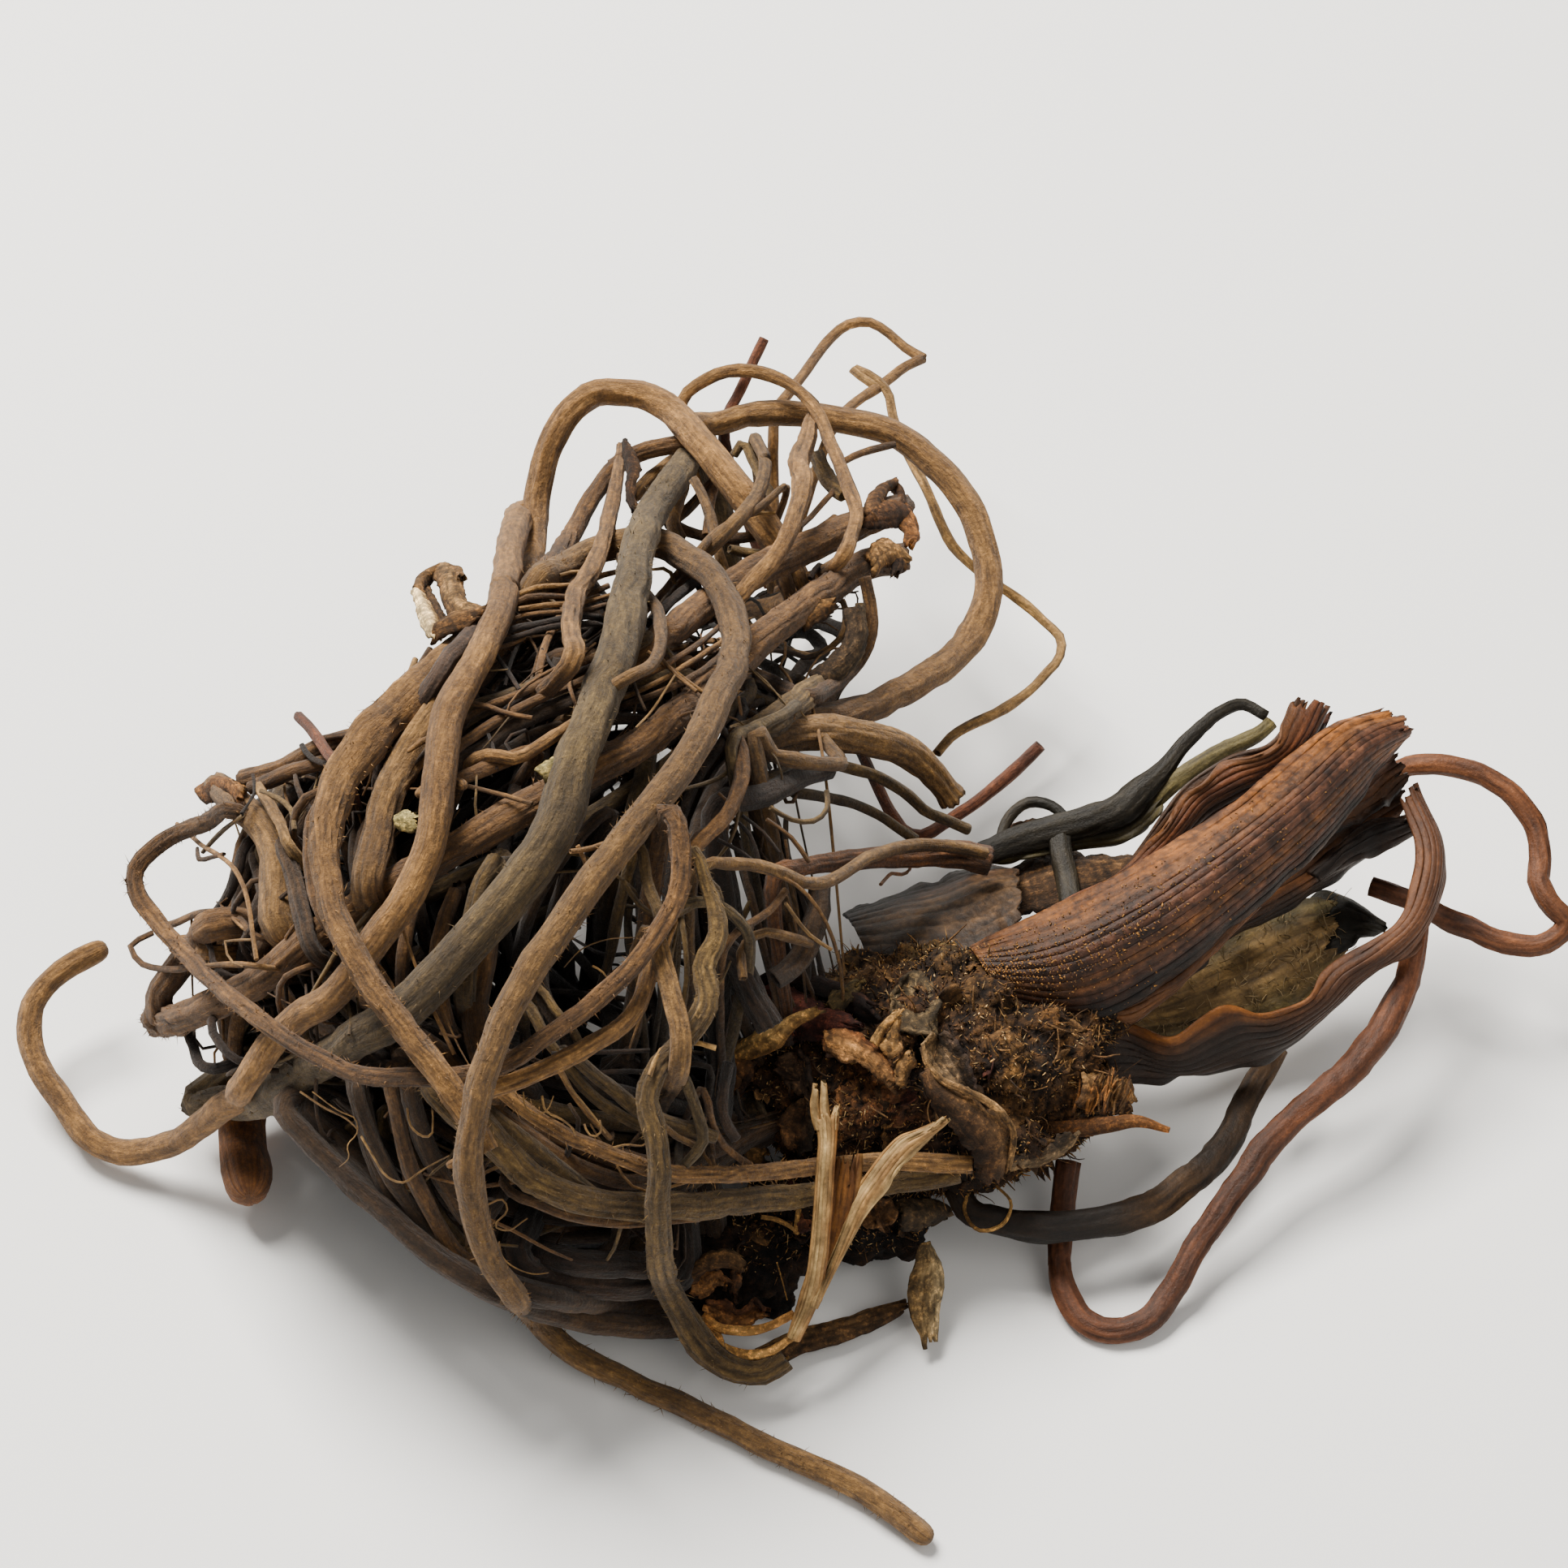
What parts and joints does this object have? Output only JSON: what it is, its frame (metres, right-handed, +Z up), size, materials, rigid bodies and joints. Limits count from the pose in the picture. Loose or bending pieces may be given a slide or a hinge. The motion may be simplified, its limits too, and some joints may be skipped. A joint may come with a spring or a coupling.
{
  "type": "dried valerian root",
  "caption": "Dried valerian plant base: torn brown rhizome with a tangle of cord-like tan roots, dry leaf bases and curled petioles.",
  "frame": {"origin": "centre of the flat resting spot under the rhizome, on the surface that the object lies on", "axes": "+X along the longest side, from the root tangle towards the leaf bases; +Y away from the viewer; +Z up from the resting surface"},
  "size_m": [0.1171, 0.1067, 0.0417],
  "materials": {
    "root_bark": "dry wrinkled root bark, tan to grey-brown, darker and torn on the rhizome",
    "wood_core": "split pale yellow root core, fibrous",
    "leaf_base": "dry veined leaf base, red-brown with orange edges",
    "leaf_woolly": "felted pale brown and grey-green tissue",
    "leaf_papery": "thin papery brown scale",
    "leaf_dark": "shrivelled green-black strip",
    "petiole_dark": "dark olive dry stalk"
  },
  "bodies": {
    "root": {"rhizome_and_roots": "root_bark", "root_core_torn": "wood_core", "leaf_base_broad": "leaf_base", "leaf_base_folded": "leaf_base", "leaf_base_inner": "leaf_base", "leaf_base_woolly": "leaf_woolly", "leaf_base_waved": "leaf_base", "leaf_base_papery": "leaf_papery", "leaf_strip_dark": "leaf_dark", "petiole_low": "petiole_dark"}
  },
  "joints": []
}
